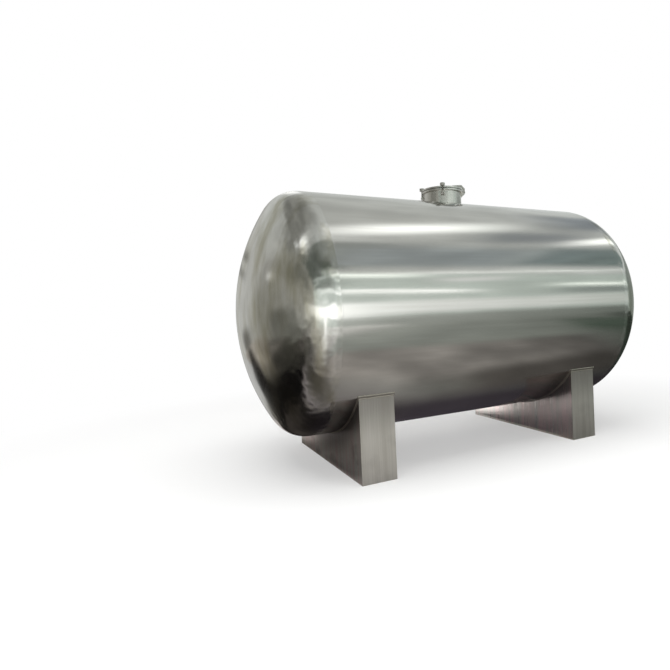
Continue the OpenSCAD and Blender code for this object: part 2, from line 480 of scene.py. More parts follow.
def finish_piece(piece, material, slot, *nodes):
    """Smooths, paints and seats a finished piece, in place of the CAD nodes it stands for."""
    pick(piece)
    bpy.ops.object.shade_smooth_by_angle(angle=SMOOTH_ANGLE)
    apply(piece, "WEIGHTED_NORMAL", keep_sharp=True)
    piece.data.materials.clear()
    piece.data.materials.append(material)
    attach(piece, "root")
    if nodes:
        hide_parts(*nodes)
    return piece


# ---------- materials ----------

# Sockets of the Mix node when it mixes colours
MIX_A, MIX_B, MIX_OUT = 6, 7, 2
# Nearly all of a noise pattern lies between these two values
NOISE_RANGE = (0.3, 0.7)
MM_PER_METRE = 1000
# A head's dimples start and are full at these distances in from its rim, in knuckle radii
DIMPLES_START, DIMPLES_FULL = 1.3, 0.5
# Above the axis they have this share of their depth, and this share of the tank's radius
# below it they have all of it
DIMPLES_FAINT, DIMPLES_LOW = 0.3, 0.6
# How far the painted shade under the shell runs down the saddles
SHELL_SHADE_REACH = 0.28


def add_node(tree, kind, inputs=None, **settings):
    """Adds a shader node; an input is given a value or another node's output."""
    node = tree.nodes.new("ShaderNode" + kind)
    for setting, value in settings.items():
        setattr(node, setting, value)
    for socket, value in (inputs or {}).items():
        if isinstance(value, bpy.types.NodeSocket):
            tree.links.new(value, node.inputs[socket])
        else:
            node.inputs[socket].default_value = value
    return node


def start_material(name, roughness, metallic=1.0):
    """Starts a surface: its material, node tree, shader and the place on the piece."""
    material = bpy.data.materials.new(name)
    material.use_nodes = True
    tree = material.node_tree
    shader = tree.nodes["Principled BSDF"]
    shader.inputs["Metallic"].default_value = metallic
    shader.inputs["Roughness"].default_value = roughness
    return material, tree, shader, add_node(tree, "TexCoord").outputs["Object"]


def even(size):
    """A pattern's size along X, Y and Z where all three are the same."""
    return (size, size, size)


def patches(tree, place, size, detail):
    """Cloudy patches of a size along X, Y and Z in millimetres; detail frays their edges."""
    fitted = add_node(tree, "Mapping", {
        "Vector": place, "Scale": [MM_PER_METRE / side for side in size]})
    noise = add_node(tree, "TexNoise", {
        "Vector": fitted.outputs[0], "Scale": 1.0, "Detail": detail})
    return noise.outputs["Fac"]


def from_axis(tree, place):
    """Distance of a place from the tank's axis."""
    centred = add_node(tree, "Mapping", {"Vector": place, "Location": -AXIS, "Scale": (0, 1, 1)})
    return add_node(tree, "VectorMath", {0: centred.outputs[0]}, operation="LENGTH").outputs["Value"]


def colour_surface(tree, shader, colour, *coats):
    """Gives a surface its colour; each coat lays another colour over it by a share."""
    for share, coat in coats:
        mixed = add_node(tree, "Mix", {0: share, MIX_A: colour, MIX_B: linear(coat)},
                         data_type="RGBA")
        colour = mixed.outputs[MIX_OUT]
    tree.links.new(colour, shader.inputs["Base Color"])


def vary_polish(tree, shader, pattern, low, high, pattern_range=NOISE_RANGE):
    """Lets a surface's roughness wander between two values with a pattern."""
    start, end = pattern_range
    sheen = add_node(tree, "MapRange", {
        "Value": pattern, "From Min": start, "From Max": end, "To Min": low, "To Max": high})
    tree.links.new(sheen.outputs[0], shader.inputs["Roughness"])


def emboss(tree, shader, *layers):
    """Bumps a surface with layers, each a pattern and its height in millimetres."""
    below = {}
    for pattern, height in layers:
        bump = add_node(tree, "Bump", {
            "Height": pattern, "Distance": height / MM_PER_METRE, "Strength": 1.0, **below})
        below = {"Normal": bump.outputs[0]}
    tree.links.new(below["Normal"], shader.inputs["Normal"])


def belt_polished_plate(finish):
    """304 plate, cold rolled and belt polished along the tank: a soft mirror.

    The rolls leave it waved by under a millimetre, mostly round the tank, so reflected lines
    run long but wander. The belt leaves long streaks of slightly duller and brighter steel.
    """
    rough = finish.shell_roughness
    material, tree, shader, place = start_material("belt_polished_304_plate", rough)
    # The belt's streaks are drawn 20 mm apart, wider than the real grit, so that they show
    belt = patches(tree, place, (900, 20, 20), 3.0)
    colour_surface(tree, shader, finish.plate_colour, (belt, "#BFBEB9"))
    vary_polish(tree, shader, belt, rough - 0.02, rough + 0.03)
    # The waves left by the rolls are about 1.2 m long and 0.25 m apart round the tank
    wave = patches(tree, place, (1200, 250, 250), 1.0)
    emboss(tree, shader, (wave, 1.5))
    return material


def buffed_head(finish):
    """304 head, pressed, spun at the knuckle and buffed: close to a mirror, but handled.

    The crown is gently waved. The knuckle keeps the dimples of the forming roll, which break
    up what it reflects. Water has run down the face and dried in faint upright stains.
    """
    rough = finish.head_roughness
    material, tree, shader, place = start_material("buffed_304_head", rough)
    # The stains are about 0.16 m apart and 0.6 m long
    stain = patches(tree, place, (160, 160, 600), 3.0)
    wet = add_node(tree, "MapRange", {"Value": stain, "From Min": 0.45, "From Max": 0.7})
    colour_surface(tree, shader, finish.head_colour, (wet.outputs[0], "#ABA99A"))
    vary_polish(tree, shader, wet.outputs[0], rough, rough + 0.06, (0, 1))
    # Waves about 0.3 m long all over, and dimples about 55 mm long in the knuckle, which start
    # on the crown's edge and are deepest low down
    wave = patches(tree, place, even(300), 1.0)
    dimple = patches(tree, place, even(55), 0.0)
    knuckle = add_node(tree, "MapRange", {
        "Value": from_axis(tree, place), "From Min": TANK_R - DIMPLES_START * KNUCKLE_R,
        "From Max": TANK_R - DIMPLES_FULL * KNUCKLE_R}, interpolation_type="SMOOTHSTEP")
    height = add_node(tree, "SeparateXYZ", {0: place})
    low_down = add_node(tree, "MapRange", {
        "Value": height.outputs["Z"], "From Min": AXIS.z,
        "From Max": AXIS.z - DIMPLES_LOW * TANK_R, "To Min": DIMPLES_FAINT, "To Max": 1.0})
    worked = add_node(tree, "Math", {
        0: knuckle.outputs[0], 1: low_down.outputs[0]}, operation="MULTIPLY")
    dimpled = add_node(tree, "Math", {0: dimple, 1: worked.outputs[0]}, operation="MULTIPLY")
    emboss(tree, shader, (wave, 6), (dimpled.outputs[0], 4))
    return material


def dressed_seam(finish):
    """A girth weld ground flush and polished over: the plate's own colour, a little duller."""
    material, tree, shader, place = start_material(
        "dressed_girth_seam", finish.shell_roughness + 0.03)
    colour_surface(tree, shader, finish.plate_colour,
                   (patches(tree, place, even(20), 2.0), "#BFBEB9"))
    return material


def brushed_saddle_plate(name, finish, run_colour, roughness, bare, dirt, shell_shade):
    """304 plate brushed upright with a coarse belt: dull streaks that run up and down.

    Water runs down the plates from the tank, and leaves wider stains in the run colour.
    Dried scale hides some of the metal, and bare is the share of it that still shows. Dirt is
    how dark the patches splashed up from the ground are. The last setting is how dark the plate
    is painted just under the shell, as shade where the tank overhangs it.
    """
    material, tree, shader, place = start_material(name, roughness, bare)
    # Brush lines are 6 mm apart here, wider than the real grit, so that they show
    lines = patches(tree, place, (6, 6, 400), 3.0)
    vary_polish(tree, shader, lines, roughness - 0.07, roughness + 0.07)
    # The runs are about 50 mm apart and as long as the plate
    runs = patches(tree, place, (50, 50, 900), 3.0)
    wet = add_node(tree, "MapRange", {"Value": runs, "From Min": 0.4, "From Max": 0.65})
    # Painted shade just under the shell, which thins out down the plate
    shade_below_shell = add_node(tree, "MapRange", {
        "Value": from_axis(tree, place), "From Min": TANK_R, "From Max": TANK_R + SHELL_SHADE_REACH,
        "To Min": shell_shade, "To Max": 0.0}, interpolation_type="SMOOTHSTEP")
    # The splashed patches are about 0.2 m across
    splash = add_node(tree, "MapRange", {
        "Value": patches(tree, place, even(200), 3.0), "From Min": 0.45, "From Max": 0.7,
        "To Min": 0.0, "To Max": dirt})
    dirt_and_shade = add_node(tree, "Math", {0: shade_below_shell.outputs[0], 1: splash.outputs[0]},
                      operation="MAXIMUM")
    # The splashed dirt and the painted shade under the shell darken the plate to one colour
    colour_surface(tree, shader, finish.saddle_colour, (lines, "#C3BFB9"),
                   (wet.outputs[0], run_colour), (dirt_and_shade.outputs[0], "#544D4A"))
    return material


def polished_manway_steel(finish):
    """304 tube and plate, turned and polished: sharper reflections than the shell's."""
    material, tree, shader, place = start_material("polished_304_manway", 0.2)
    grain = patches(tree, place, even(30), 2.0)
    colour_surface(tree, shader, finish.manway_colour, (grain, "#B9B8B3"))
    vary_polish(tree, shader, grain, 0.16, 0.26)
    return material


def turned_fitting_steel(finish):
    """304 bar and plate, turned or sawn and left bright."""
    material, tree, shader, place = start_material("turned_304_fittings", 0.28)
    colour_surface(tree, shader, finish.fitting_colour,
                   (patches(tree, place, even(12), 2.0), "#AEACA6"))
    return material


def cast_nut_steel(finish):
    """Investment cast hand nuts, tumbled: an even, slightly grainy grey."""
    material, tree, shader, place = start_material("tumbled_cast_nuts", 0.34)
    # The cast grain is drawn 2.5 mm across, coarser than the real one, so that it shows
    grain = patches(tree, place, even(2.5), 2.0)
    colour_surface(tree, shader, finish.fitting_colour, (grain, "#A19F99"))
    emboss(tree, shader, (grain, 0.1))
    return material


def satin_pad_plate(finish):
    """304 plate with the mill's satin finish, rolled to the shell, dulled by dirt and darker as
    painted shade under the shell.
    """
    material, tree, shader, place = start_material("satin_304_pad_plate", 0.3)
    cloud = patches(tree, place, even(150), 3.0)
    # The pads' dark colour is partly painted shade under the shell; the clouds are dirt
    colour_surface(tree, shader, finish.pad_colour, (cloud, "#8E8983"))
    vary_polish(tree, shader, cloud, 0.26, 0.36)
    return material


def weld_metal(finish):
    """Stainless weld metal, brushed clean: duller than the plate with a straw tint."""
    material, tree, shader, place = start_material("brushed_weld_metal", 0.36)
    colour_surface(tree, shader, finish.weld_colour,
                   (patches(tree, place, even(20), 2.0), "#B8B4AC"))
    return material


def moulded_rubber(finish):
    """EPDM gasket, compression moulded: matt black with a faint bloom."""
    material, tree, shader, place = start_material("moulded_epdm_rubber", 0.62, metallic=0.0)
    shader.inputs["IOR"].default_value = 1.52
    colour_surface(tree, shader, finish.rubber_colour,
                   (patches(tree, place, even(20), 3.0), "#3A3938"))
    return material


# ---------- the stage ----------

# The camera stands low in front of the left head. Its lens is in millimetres, and its shift a
# share of the frame
CAMERA_PLACE = Vector((-2.831, -4.627, 1.364))
CAMERA_YAW = math.radians(28.94)
CAMERA_PITCH = math.radians(1.09)
CAMERA_ROLL = math.radians(-2.52)
CAMERA_LENS = 27.32
CAMERA_SHIFT = (-0.1269, -0.0192)

SOFTBOX_SIZE = (7.0, 5.0)
SOFTBOX_PLACE = (-1.5, -1.5, 6.5)
FLOOR_SIZE = 120
# The floor turns into the white backdrop between these two distances from the tank, and even
# under the tank this share of it is white, which keeps the shadow light
FLOOR_FADE = (2.6, 6.0)
FLOOR_WHITE = 0.4

# The hall that the steel reflects: its four walls, its roof and the middle of its length, depth
# and height
LEFT, RIGHT = -9.0, 12.0
FRONT, BACK = -6.6, 8.0
ROOF = 5.4
MID_X, MID_Y, MID_Z = (LEFT + RIGHT) / 2, (FRONT + BACK) / 2, ROOF / 2
# A surface lies across one axis, at a place, facing inwards
SURFACES = {
    "floor": (2, 0.0, 1), "ceiling": (2, ROOF, -1),
    "front": (1, FRONT, 1), "back": (1, BACK, -1),
    "left": (0, LEFT, 1), "right": (0, RIGHT, -1),
}
# Each card is a band on one surface: start, end, width, colour there and there, strength, soft
# edge as a share of the band, and how much its brightness wanders. The cards are listed in
# order, and later ones lie on earlier ones
HALL = {
    "floor": {
        # Concrete, pale far in front of the tank and darker behind it, both darkening towards the
        # tank as painted shade of the tank
        "floor": ((MID_X, FRONT), (MID_X, 0), RIGHT - LEFT, "#F4F3F0", "#5A5152", 1.4, 0, 0.35),
        "floor_back": ((MID_X, 0), (MID_X, BACK), RIGHT - LEFT, "#4A4641", "#C0B9B0", 1.0, 0, 0.3),
        # Light that falls on the floor behind the tank, where the webs mirror it
        "floor_lane": ((-2.4, 2.0), (3.4, 2.0), 2.1, "#F4F2EF", "#F4F2EF", 1.6, 0.35, 0.2),
        "floor_web": ((-1.3, 1.1), (1.3, 1.0), 2.1, "#FFFFFF", "#FFFFFF", 3.6, 0.35, 0.1),
        # Green machines in front of the right head and beyond it
        "floor_right": ((1.6, -6.9), (6.4, -2.1), 13, "#BABEB8", "#3A443C", 1.0, 0.12, 0.2),
        "floor_far": ((4.6, -3.9), (11, 2.5), 14, "#353E37", "#28312A", 1.0, 0.12, 0.3),
        "floor_green": ((3.4, -1.9), (5.8, -5.4), 2.2, "#4E5A50", "#5C6A5F", 1.0, 0.35, 0.2),
        # Shade, stains and glints in front of the left head and along the shell
        "floor_shade": ((-2.6, -1.25), (-8.8, -1.5), 3.5, "#3D3A36", "#78766F", 1.0, 0.3, 0.3),
        "floor_pit": ((-3.3, -0.4), (-6.0, -0.1), 1.7, "#2A2825", "#3A3833", 1.0, 0.35, 0.3),
        "floor_glint": ((-3.3, -2.05), (0.6, -1.9), 1.6, "#8A837F", "#CFC9C4", 1.0, 0.3, 0.4),
        "floor_front": ((-1.6, -1.8), (3.6, -1.8), 1.9, "#CCC6C1", "#282827", 1.0, 0.25, 0.4),
        "floor_near": ((-1.0, -0.75), (3.8, -1.25), 1.1, "#75706C", "#242321", 1.0, 0.35, 0.3),
        "floor_stain": ((-4.2, -1.15), (-1.0, -1.25), 1.0, "#474440", "#6C6863", 1.0, 0.35, 0.3),
        # The pale lane behind the left head, and dark bands across it, darkest next to the tank
        "floor_pale": ((-2.2, 1.0), (-2.0, 8.4), 3.2, "#CCCCCB", "#CFCFCE", 1.0, 0.15, 0.1),
        "floor_grey": ((-1.0, 0.6), (-1.0, 8.4), 1.6, "#818180", "#868685", 1.0, 0.3, 0.1),
        "floor_dim": ((-1.6, 0.5), (-10, 1.9), 2.3, "#141210", "#59574F", 1.0, 0.25, 0.4),
        "floor_corner": ((-6.2, 3.3), (-10.4, 3.7), 2.0, "#5A5852", "#5E5C56", 1.0, 0.3, 0.3),
        "floor_streak": ((-3.2, 0.9), (-7.8, 8.6), 1.6, "#B5AEA2", "#C6BFB4", 1.0, 0.3, 0.2),
        "floor_dark": ((-2.0, -0.3), (-5.8, 8.4), 1.2, "#0A0909", "#383431", 1.0, 0.25, 0.3),
        # The tank's own shade, under the left head, the shell and the left saddle
        "under_head": ((-4.3, 0.35), (-0.9, -0.05), 1.75, "#090707", "#0C0A0A", 1.0, 0.2, 0.2),
        "head_shade_rim": ((-1.2, 0.0), (-2.7, 0.05), 1.2, "#4E4844", "#332F2C", 1.0, 0.35, 0.6),
        "under_tank": ((-1.7, 0.15), (3.8, -0.05), 2.0, "#4A444B", "#29262A", 1.0, 0.25, 0.2),
        "saddle_shade": ((-2.05, -0.38), (-0.5, -0.38), 0.9, "#1D191B", "#2A2528", 1.0, 0.35, 0.2),
        # A gleam behind the left saddle, and the sunlit path in front of the left head
        "floor_gleam": ((-1.62, 0.7), (-1.62, 1.7), 0.6, "#E6DEDC", "#FFF8F6", 0.9, 0.35, 0.2),
        "floor_path": ((-2.15, -1.5), (-3.75, -7.2), 1.05, "#B9B9B9", "#FFFFFF", 1.9, 0.35, 0),
    },
    "ceiling": {
        # The roof over the tank, with a dull, a bright and a blue stretch
        "ceiling": ((LEFT, MID_Y), (RIGHT, MID_Y), BACK - FRONT, "#C0C0BB", "#DCE1E0", 1.1, 0, 0.15),
        "roof_dim": ((-10, 1.05), (0.0, 0.95), 5.5, "#80807A", "#9A9A95", 1.0, 0.25, 0.25),
        "roof_bright": ((-1.2, 2.3), (0.2, 8.6), 1.5, "#FFFFFF", "#FFFFFF", 1.5, 0.4, 0),
        "roof_blue": ((2.8, 0.3), (9.0, 1.2), 3.2, "#959CA3", "#A6ACB1", 1.0, 0.35, 0.2),
        # The lower part of the roof in front of the tank, bright along its edge
        "eaves_left": ((-12, -4.5), (1.2, -4.4), 4.9, "#60665E", "#747873", 1.0, 0.15, 0.3),
        "eaves_near": ((-3.4, -3.3), (1.6, -3.4), 3.0, "#868A84", "#BABEBA", 1.0, 0.35, 0.2),
        "eaves_far": ((-11, -0.8), (-5.0, -2.2), 2.3, "#70746D", "#858983", 1.0, 0.3, 0.3),
        "eaves_middle": ((-0.8, -3.9), (4.8, -3.9), 3.4, "#B8BEC0", "#A0AAAE", 1.0, 0.3, 0.2),
        "eaves_right": ((3.2, -3.6), (10, -3.6), 3.4, "#9EABAF", "#6F8179", 1.0, 0.25, 0.2),
        "eaves_green": ((-3.4, -5.4), (1.0, -5.4), 1.1, "#545F56", "#545F56", 1.0, 0.3, 0),
        "eaves_line": ((-0.6, -6.6), (10.6, -5.4), 0.5, "#FFFFFF", "#F4FAF6", 2.0, 0.4, 0),
        # Lamps and one dull stretch between them, over the front of the tank
        "lamp_far": ((-7.1, -0.2), (-3.3, -2.0), 1.35, "#FFFFFF", "#F4F6F4", 2.2, 0.45, 0),
        "lamp_bend": ((-8.0, 2.2), (-5.8, -0.7), 1.05, "#E2E5E2", "#FFFFFF", 1.2, 0.4, 0),
        "lamp_thin": ((-3.6, -2.3), (1.5, -2.25), 0.7, "#B0B3B0", "#F0F2F0", 1.15, 0.35, 0),
        "roof_shade": ((1.6, -1.8), (5.4, -1.2), 1.7, "#A6ABAF", "#9EA3A7", 1.0, 0.4, 0.1),
        "lamp_over": ((-1.5, -2.0), (3.8, -0.12), 1.35, "#FFFFFF", "#E2E6E4", 2.55, 0.5, 0),
        "lamp_right": ((3.9, -2.2), (8.2, -0.2), 0.95, "#FFFFFF", "#F2FAF6", 2.4, 0.4, 0),
    },
    "front": {
        # The wall in front of the tank, with its shade and its beam
        "front": ((LEFT, MID_Z), (RIGHT, MID_Z), ROOF, "#D5DDD7", "#B2BEB8", 1.35, 0, 0.15),
        "front_shade": ((-10, 4.2), (1.4, 4.1), 1.0, "#9AA09A", "#A8AEA8", 1.0, 0.22, 0.3),
        "front_beam": ((-9, 4.75), (1.4, 4.55), 0.7, "#6E766F", "#99A09A", 1.0, 0.22, 0.2),
        "front_dim": ((5.0, 3.0), (12.6, 3.0), 1.1, "#A3ABA8", "#8C9692", 1.0, 0.3, 0.15),
        "front_pale": ((2.4, 4.45), (5.8, 4.75), 0.8, "#FFFFFF", "#FFFFFF", 1.1, 0.4, 0),
        # Strips of light high up on the wall
        "front_line": ((-9, 3.4), (3.6, 3.3), 0.42, "#F0F5F0", "#FFFFFF", 2.0, 0.4, 0.1),
        "front_line_near": ((-0.8, 3.35), (4.5, 3.1), 0.42, "#FFFFFF", "#FFFFFF", 2.6, 0.35, 0),
        "front_line_far": ((5.2, 3.75), (11.4, 3.85), 0.45, "#F4FAF4", "#F4FAF4", 2.4, 0.4, 0),
        "front_high": ((-2.0, 5.25), (3.6, 5.15), 0.6, "#FBFFFA", "#EEF6F0", 2.6, 0.35, 0),
        # Windows, the dim wall under them and the bright doorway
        "windows_far": ((-0.8, 1.6), (13, 1.95), 1.55, "#FFFFFF", "#919C93", 1.5, 0.25, 0.05),
        "windows": ((-12, 1.42), (2.4, 1.42), 1.85, "#FFFFFF", "#FFFFFF", 2.3, 0.22, 0.05),
        "front_low": ((-2.0, 0.3), (12, 0.5), 1.45, "#CCCFCA", "#46534A", 1.0, 0.3, 0.1),
        "doorway": ((-3.6, -0.3), (-3.6, 1.4), 1.3, "#FFFFFF", "#FFFFFF", 2.0, 0.3, 0),
    },
    "left": {
        # The wall past the left head, with its window, its machines and a lamp
        "left": ((FRONT, MID_Z), (BACK, MID_Z), ROOF, "#BAB9B2", "#A9A8A2", 1.0, 0, 0.2),
        "left_high": ((-4.6, 4.5), (3.4, 4.3), 1.8, "#7C7D76", "#8B8B84", 1.0, 0.25, 0.3),
        "left_window": ((-9, 1.85), (0.4, 1.55), 1.7, "#FFFFFF", "#9A9A94", 2.2, 0.3, 0.1),
        "left_low": ((-6.6, 0.35), (5.8, 0.3), 1.3, "#9A9992", "#66655F", 1.0, 0.35, 0.3),
        "left_machine": ((0.0, 0.9), (5.4, 1.0), 2.4, "#85857D", "#706F68", 1.0, 0.25, 0.3),
        "left_spot": ((4.0, 4.0), (5.8, 4.1), 0.7, "#FFFFFF", "#FFFFFF", 1.5, 0.4, 0),
    },
    "back": {
        # The wall behind the tank, with a beam, a rail and stacked goods
        "back": ((LEFT, MID_Z), (RIGHT, MID_Z), ROOF, "#CDCDC9", "#CFCFCC", 1.0, 0, 0.1),
        "back_rim": ((-2.2, MID_Z), (3.0, MID_Z), ROOF, "#A8A8A4", "#A8A8A4", 1.0, 0.15, 0.1),
        "back_beam": ((-5.0, 4.1), (-1.2, 3.2), 0.5, "#7E7E7B", "#8C8C89", 1.0, 0.4, 0.3),
        "back_rail": ((-5.0, 3.2), (-0.6, 2.7), 0.5, "#868683", "#969693", 1.0, 0.4, 0.3),
        "back_stack": ((-7.4, 0.3), (-3.8, 0.3), 1.4, "#7C7B76", "#7C7A76", 1.0, 0.3, 0.3),
    },
    "right": {
        # The wall past the right head
        "right": ((FRONT, MID_Z), (BACK, MID_Z), ROOF, "#8E9891", "#A9AEA9", 1.0, 0, 0.3),
    },
}
# Each card lies this much further off its surface than the card before it
CARD_STEP = 0.001
# The brightness of a card wanders over about a metre
MOTTLE_SIZE = 1100
MOTTLE_RANGE = (0.35, 0.65)


def hall_point(surface, point, lift):
    """A point on one of the hall's surfaces, lifted off it towards the tank."""
    side, at, inwards = SURFACES[surface]
    place = list(point)
    place.insert(side, at + inwards * lift)
    return Vector(place)


def band(name, surface, start, end, width, lift):
    """A flat band on a hall surface; U of its map runs from start to end, V across it."""
    start, end = hall_point(surface, start, lift), hall_point(surface, end, lift)
    side, _, inwards = SURFACES[surface]
    facing = inwards * (X, Y, Z)[side]
    along = end - start
    across = facing.cross(along.normalized()) * width
    bpy.ops.object.select_all(action="DESELECT")
    bpy.ops.mesh.primitive_plane_add(size=1)
    bpy.context.object.matrix_world = Matrix.Translation((start + end) / 2) @ Matrix(
        (along, across, facing)).transposed().to_4x4()
    return new_piece(name)


def soft_edges(tree, spot, soft):
    """One over the middle of a card, falling to nothing at its ends and sides."""
    masks = []
    for side in "XY":
        other = add_node(tree, "Math", {0: 1.0, 1: spot.outputs[side]}, operation="SUBTRACT")
        edge = add_node(tree, "Math", {0: spot.outputs[side], 1: other.outputs[0]},
                        operation="MINIMUM")
        mask = add_node(tree, "MapRange", {
            "Value": edge.outputs[0], "From Min": 0.0, "From Max": soft},
            interpolation_type="SMOOTHSTEP")
        masks.append(mask.outputs[0])
    both = add_node(tree, "Math", {0: masks[0], 1: masks[1]}, operation="MULTIPLY")
    return both.outputs[0]


def card(name, lift, surface, start, end, width, first, last, strength, soft, mottle):
    """A glowing card of the hall, which only the steel sees."""
    piece = band("hall_" + name, surface, start, end, width, lift)
    material = bpy.data.materials.new("card_" + name)
    material.use_nodes = True
    tree = material.node_tree
    tree.nodes.remove(tree.nodes["Principled BSDF"])
    coordinates = add_node(tree, "TexCoord")
    spot = add_node(tree, "SeparateXYZ", {0: coordinates.outputs["UV"]})
    colour = add_node(tree, "Mix", {
        0: spot.outputs["X"], MIX_A: linear(first), MIX_B: linear(last)}, data_type="RGBA")
    level = strength * bpy.context.scene.tank_stage.card_strength
    dim, bright = MOTTLE_RANGE
    power = add_node(tree, "MapRange", {
        "Value": patches(tree, coordinates.outputs["Object"], even(MOTTLE_SIZE), 3.0),
        "From Min": dim, "From Max": bright,
        "To Min": level * (1 - mottle), "To Max": level * (1 + mottle / 2)})
    result = add_node(tree, "Emission", {
        "Color": colour.outputs[MIX_OUT], "Strength": power.outputs[0]}).outputs[0]
    if soft:
        clear = add_node(tree, "BsdfTransparent")
        result = add_node(tree, "MixShader", {
            0: soft_edges(tree, spot, soft), 1: clear.outputs[0], 2: result}).outputs[0]
    tree.links.new(result, tree.nodes["Material Output"].inputs["Surface"])
    piece.data.materials.append(material)
    # Kept out of the picture, the shadows and the soft light
    piece.visible_camera = False
    piece.visible_diffuse = False
    piece.visible_shadow = False


def pale_floor():
    """A plain pale floor that keeps the tank's shadow and runs out into the white backdrop."""
    bpy.ops.object.select_all(action="DESELECT")
    bpy.ops.mesh.primitive_plane_add(size=FLOOR_SIZE)
    piece = new_piece("studio_floor")
    material, tree, shader, place = start_material("pale_studio_floor", 0.9, metallic=0.0)
    shader.inputs["Base Color"].default_value = linear("#F7F7F6")
    away = add_node(tree, "VectorMath", {0: place}, operation="LENGTH")
    near, far = FLOOR_FADE
    fade = add_node(tree, "MapRange", {
        "Value": away.outputs["Value"], "From Min": near, "From Max": far,
        "To Min": FLOOR_WHITE}, interpolation_type="SMOOTHSTEP")
    white = add_node(tree, "Emission", {"Color": (1, 1, 1, 1), "Strength": 1.0})
    mixed = add_node(tree, "MixShader", {
        0: fade.outputs[0], 1: shader.outputs[0], 2: white.outputs[0]})
    tree.links.new(mixed.outputs[0], tree.nodes["Material Output"].inputs["Surface"])
    piece.data.materials.append(material)


def backdrop_world(strength):
    """White to the camera and in reflections, an even fill light for everything else."""
    world = bpy.data.worlds.new("white_backdrop")
    world.use_nodes = True
    tree = world.node_tree
    path = add_node(tree, "LightPath")
    shown = path.outputs["Is Camera Ray"]
    for ray in ("Is Glossy Ray", "Is Transmission Ray"):
        shown = add_node(tree, "Math", {0: shown, 1: path.outputs[ray]},
                         operation="MAXIMUM").outputs[0]
    level = add_node(tree, "MapRange", {"Value": shown, "To Min": strength, "To Max": 1.0})
    background = tree.nodes["Background"]
    background.inputs["Color"].default_value = (1, 1, 1, 1)
    tree.links.new(level.outputs[0], background.inputs["Strength"])
    bpy.context.scene.world = world


def place_camera():
    """Aims the camera by its yaw, pitch and roll."""
    forward = Vector((
        math.sin(CAMERA_YAW) * math.cos(CAMERA_PITCH),
        math.cos(CAMERA_YAW) * math.cos(CAMERA_PITCH),
        -math.sin(CAMERA_PITCH)))
    level = Vector((math.cos(CAMERA_YAW), -math.sin(CAMERA_YAW), 0))
    upright = level.cross(forward)
    right = level * math.cos(CAMERA_ROLL) + upright * math.sin(CAMERA_ROLL)
    up = right.cross(forward)
    data = bpy.data.cameras.new("camera")
    data.lens = CAMERA_LENS
    data.shift_x, data.shift_y = CAMERA_SHIFT
    camera = bpy.data.objects.new("camera", data)
    bpy.context.scene.collection.objects.link(camera)
    camera.matrix_world = Matrix.Translation(CAMERA_PLACE) @ Matrix(
        (right, up, -forward)).transposed().to_4x4()
    bpy.context.scene.camera = camera


class TANK_OT_stage(bpy.types.Operator):
    """Camera, floor, backdrop, softbox and the cards that the steel reflects"""

    bl_idname = "tank.stage"
    bl_label = "Stage"

    def execute(self, context):
        settings = context.scene.tank_stage
        context.scene.view_settings.view_transform = "Standard"
        place_camera()
        pale_floor()
        backdrop_world(settings.sky_strength)
        cards = [(surface, name) for surface, group in HALL.items() for name in group]
        for number, (surface, name) in enumerate(cards, 1):
            card(name, number * CARD_STEP, surface, *HALL[surface][name])
        lamp = bpy.data.lights.new("overhead_softbox", "AREA")
        lamp.shape = "RECTANGLE"
        lamp.size, lamp.size_y = SOFTBOX_SIZE
        lamp.energy = settings.lamp_power
        softbox = bpy.data.objects.new("overhead_softbox", lamp)
        softbox.location = SOFTBOX_PLACE
        softbox.visible_glossy = False
        context.scene.collection.objects.link(softbox)
        return {"FINISHED"}


# ---------- shell and heads ----------

def dipped_end(radius, end, inwards, shape):
    """Outline points at a plate's end, where the surface dips under the dressed seam."""
    half = shape.seam_width / 2
    return [
        (radius, end + inwards * (half + shape.seam_dip)),
        (radius - shape.seam_dip, end + inwards * half),
        (radius - shape.seam_dip, end),
    ]


class TANK_OT_shell(bpy.types.Operator):
    """The three rolled courses of the shell"""

    bl_idname = "tank.shell"
    bl_label = "Shell courses"

    def execute(self, context):
        shape = context.scene.tank_shape
        material = belt_polished_plate(context.scene.tank_finish)
        for node in COURSES:
            left, right = ends(node)
            outline = dipped_end(TANK_R, left, 1, shape)[::-1]
            if node == "shell_middle":
                # Rings beside the manway keep its hole from disturbing the long facets
                clear = 1.2 * NECK_R
                outline += [(TANK_R, MANWAY.x - clear), (TANK_R, MANWAY.x + clear)]
            outline += dipped_end(TANK_R, right, -1, shape)
            outline += [(TANK_R - PLATE_T, right), (TANK_R - PLATE_T, left)]
            course = lathe(node + "_course", outline, AXIS, X, Z, shape.ring_steps)
            if node == "shell_middle":
                hole = rod("hole", MANWAY + AXIS, MANWAY + Z * NECK_TOP, NECK_R, MANWAY_STEPS)
                carve(course, hole)
            finish_piece(course, material, "shell_plate", node)
        return {"FINISHED"}


def head_outline(shape):
    """Outline of a dished head from its apex to its weld edge, with its inner face."""
    knuckle_at = TANK_R - KNUCKLE_R
    crown_drop = math.sqrt((CROWN_R - KNUCKLE_R) ** 2 - knuckle_at ** 2)
    turn = math.asin(knuckle_at / (CROWN_R - KNUCKLE_R))
    outer, inner = [
        arc((0, -crown_drop), CROWN_R - inset, 0, turn, CROWN_STEPS)[:-1]
        + arc((knuckle_at, 0), KNUCKLE_R - inset, turn, math.pi / 2, KNUCKLE_STEPS)
        for inset in (0, PLATE_T)
    ]
    edge = dipped_end(TANK_R, -HEAD_FLANGE, 1, shape)
    return outer + edge + [(TANK_R - PLATE_T, -HEAD_FLANGE)] + inner[::-1]


class TANK_OT_heads(bpy.types.Operator):
    """The two spun and buffed heads"""

    bl_idname = "tank.heads"
    bl_label = "Heads"

    def execute(self, context):
        shape = context.scene.tank_shape
        material = buffed_head(context.scene.tank_finish)
        for node, side in HEADS.items():
            centre = AXIS + X * side * (SEAM_X + HEAD_FLANGE)
            head = lathe(node + "_dish", head_outline(shape), centre, X * side, Z,
                         shape.ring_steps)
            finish_piece(head, material, "head_plate", node)
        return {"FINISHED"}


